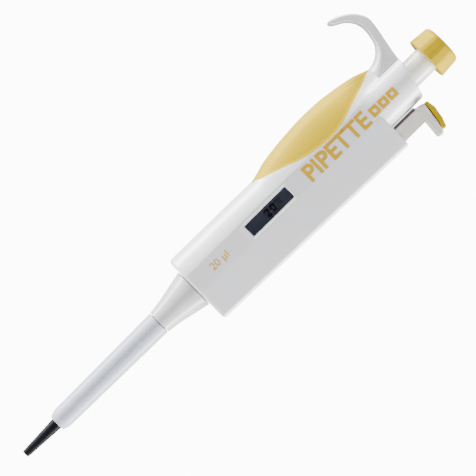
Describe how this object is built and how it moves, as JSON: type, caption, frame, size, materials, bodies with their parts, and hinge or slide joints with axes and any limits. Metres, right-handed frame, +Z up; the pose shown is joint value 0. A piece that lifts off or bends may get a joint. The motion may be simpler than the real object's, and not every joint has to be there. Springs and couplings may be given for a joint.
{
  "type": "adjustable micropipette",
  "caption": "Hand-held adjustable micropipette with a finger hook, turning plunger knob, volume window, tip ejector and tapered nozzle.",
  "frame": {"origin": "on the plunger axis, in the plane of the handle's flat bottom face", "axes": "+Z up the plunger axis towards the knob; +X towards the thumb-side tip ejector; -X towards the finger hook; -Y towards the volume window"},
  "size_m": [0.066, 0.02, 0.24],
  "materials": {
    "white_shell": "moulded white plastic, softly glossy",
    "cool_white": "moulded blue-grey white plastic",
    "ivory": "moulded ivory plastic",
    "yellow": "moulded yellow plastic",
    "black_plastic": "black chemical-resistant plastic",
    "smoked_glass": "clear smoked window",
    "drum_blue": "dark blue moulded plastic",
    "steel": "stainless steel",
    "brass": "turned brass",
    "grey_polymer": "grey engineering plastic",
    "rubber": "nitrile rubber"
  },
  "bodies": {
    "handle": {"housing_near_half": "white_shell", "housing_far_half": "white_shell", "finger_hook": "white_shell", "grip_insert": "yellow", "window_lens": "smoked_glass", "window_mask": "drum_blue", "locating_pin_lower": "steel", "locating_pin_upper": "steel", "top_bushing": "grey_polymer", "nut_guide_pin": "steel", "counter_frame": "grey_polymer", "pinion_shaft": "steel", "shaft_seat": "grey_polymer", "coupling_nut": "brass", "shaft": "grey_polymer", "piston_seal": "ivory", "seal_o_ring": "rubber", "seal_retainer": "brass", "nozzle": "black_plastic", "ejector_guide": "grey_polymer", "ejector_spring": "steel", "primary_spring": "steel"},
    "plunger": {"piston_carrier": "grey_polymer", "piston": "steel"},
    "knob_group": {"knob": "yellow", "plunger_sleeve": "ivory", "plunger_rod": "steel", "stop_collar": "brass"},
    "setting_group": {"setting_sleeve": "brass", "tenths_drum": "drum_blue"},
    "stop_nut_group": {"stop_nut": "grey_polymer", "blowout_spring": "steel"},
    "units_wheel": {"units_drum": "drum_blue"},
    "tens_wheel": {"tens_drum": "drum_blue"},
    "upper_pinion": {"carry_pinion_upper": "brass"},
    "lower_pinion": {"carry_pinion_lower": "brass"},
    "ejector": {"ejector_button": "ivory", "button_insert": "yellow", "ejector_arm": "cool_white", "ejector_collar": "white_shell", "ejector_tube": "cool_white"}
  },
  "joints": [
    {"name": "plunger_press", "type": "slide", "parent": "handle", "child": "plunger", "axis": [0, 0, -1], "range_m": [0, 0.0072], "stiffness_N_per_m": 450, "springref_m": -0.004, "deforming": ["primary_spring", "blowout_spring"]},
    {"name": "volume_turn", "type": "hinge", "parent": "plunger", "child": "knob_group", "pos_m": [0, 0, 0.133], "axis": [0, 0, 1], "range_deg": [-3240, 0]},
    {"name": "setting_turn", "type": "hinge", "parent": "handle", "child": "setting_group", "pos_m": [0, 0, 0.06], "axis": [0, 0, 1], "range_deg": [-3240, 0]},
    {"name": "stop_nut_climb", "type": "slide", "parent": "handle", "child": "stop_nut_group", "axis": [0, 0, 1], "range_m": [0, 0.00541]},
    {"name": "units_turn", "type": "hinge", "parent": "handle", "child": "units_wheel", "pos_m": [0, 0, 0.0458], "axis": [0, 0, 1], "range_deg": [-648, 0]},
    {"name": "tens_turn", "type": "hinge", "parent": "handle", "child": "tens_wheel", "pos_m": [0, 0, 0.0427], "axis": [0, 0, 1], "range_deg": [-64.8, 0]},
    {"name": "upper_pinion_turn", "type": "hinge", "parent": "handle", "child": "upper_pinion", "pos_m": [0.0096, 0, 0.0472], "axis": [0, 0, 1], "range_deg": [0, 1620]},
    {"name": "lower_pinion_turn", "type": "hinge", "parent": "handle", "child": "lower_pinion", "pos_m": [0.0096, 0, 0.0441], "axis": [0, 0, 1], "range_deg": [0, 162]},
    {"name": "ejector_press", "type": "slide", "parent": "handle", "child": "ejector", "axis": [0, 0, -1], "range_m": [0, 0.008], "stiffness_N_per_m": 300, "springref_m": -0.004, "deforming": ["ejector_spring"]}
  ],
  "couplings": [
    {"joint": "setting_turn", "follows": "volume_turn", "ratio": 1},
    {"joint": "stop_nut_climb", "follows": "volume_turn", "m_per_rad": -0.000095493},
    {"joint": "units_turn", "follows": "volume_turn", "ratio": 0.2},
    {"joint": "tens_turn", "follows": "volume_turn", "ratio": 0.02},
    {"joint": "upper_pinion_turn", "follows": "volume_turn", "ratio": -0.5},
    {"joint": "lower_pinion_turn", "follows": "volume_turn", "ratio": -0.05}
  ]
}
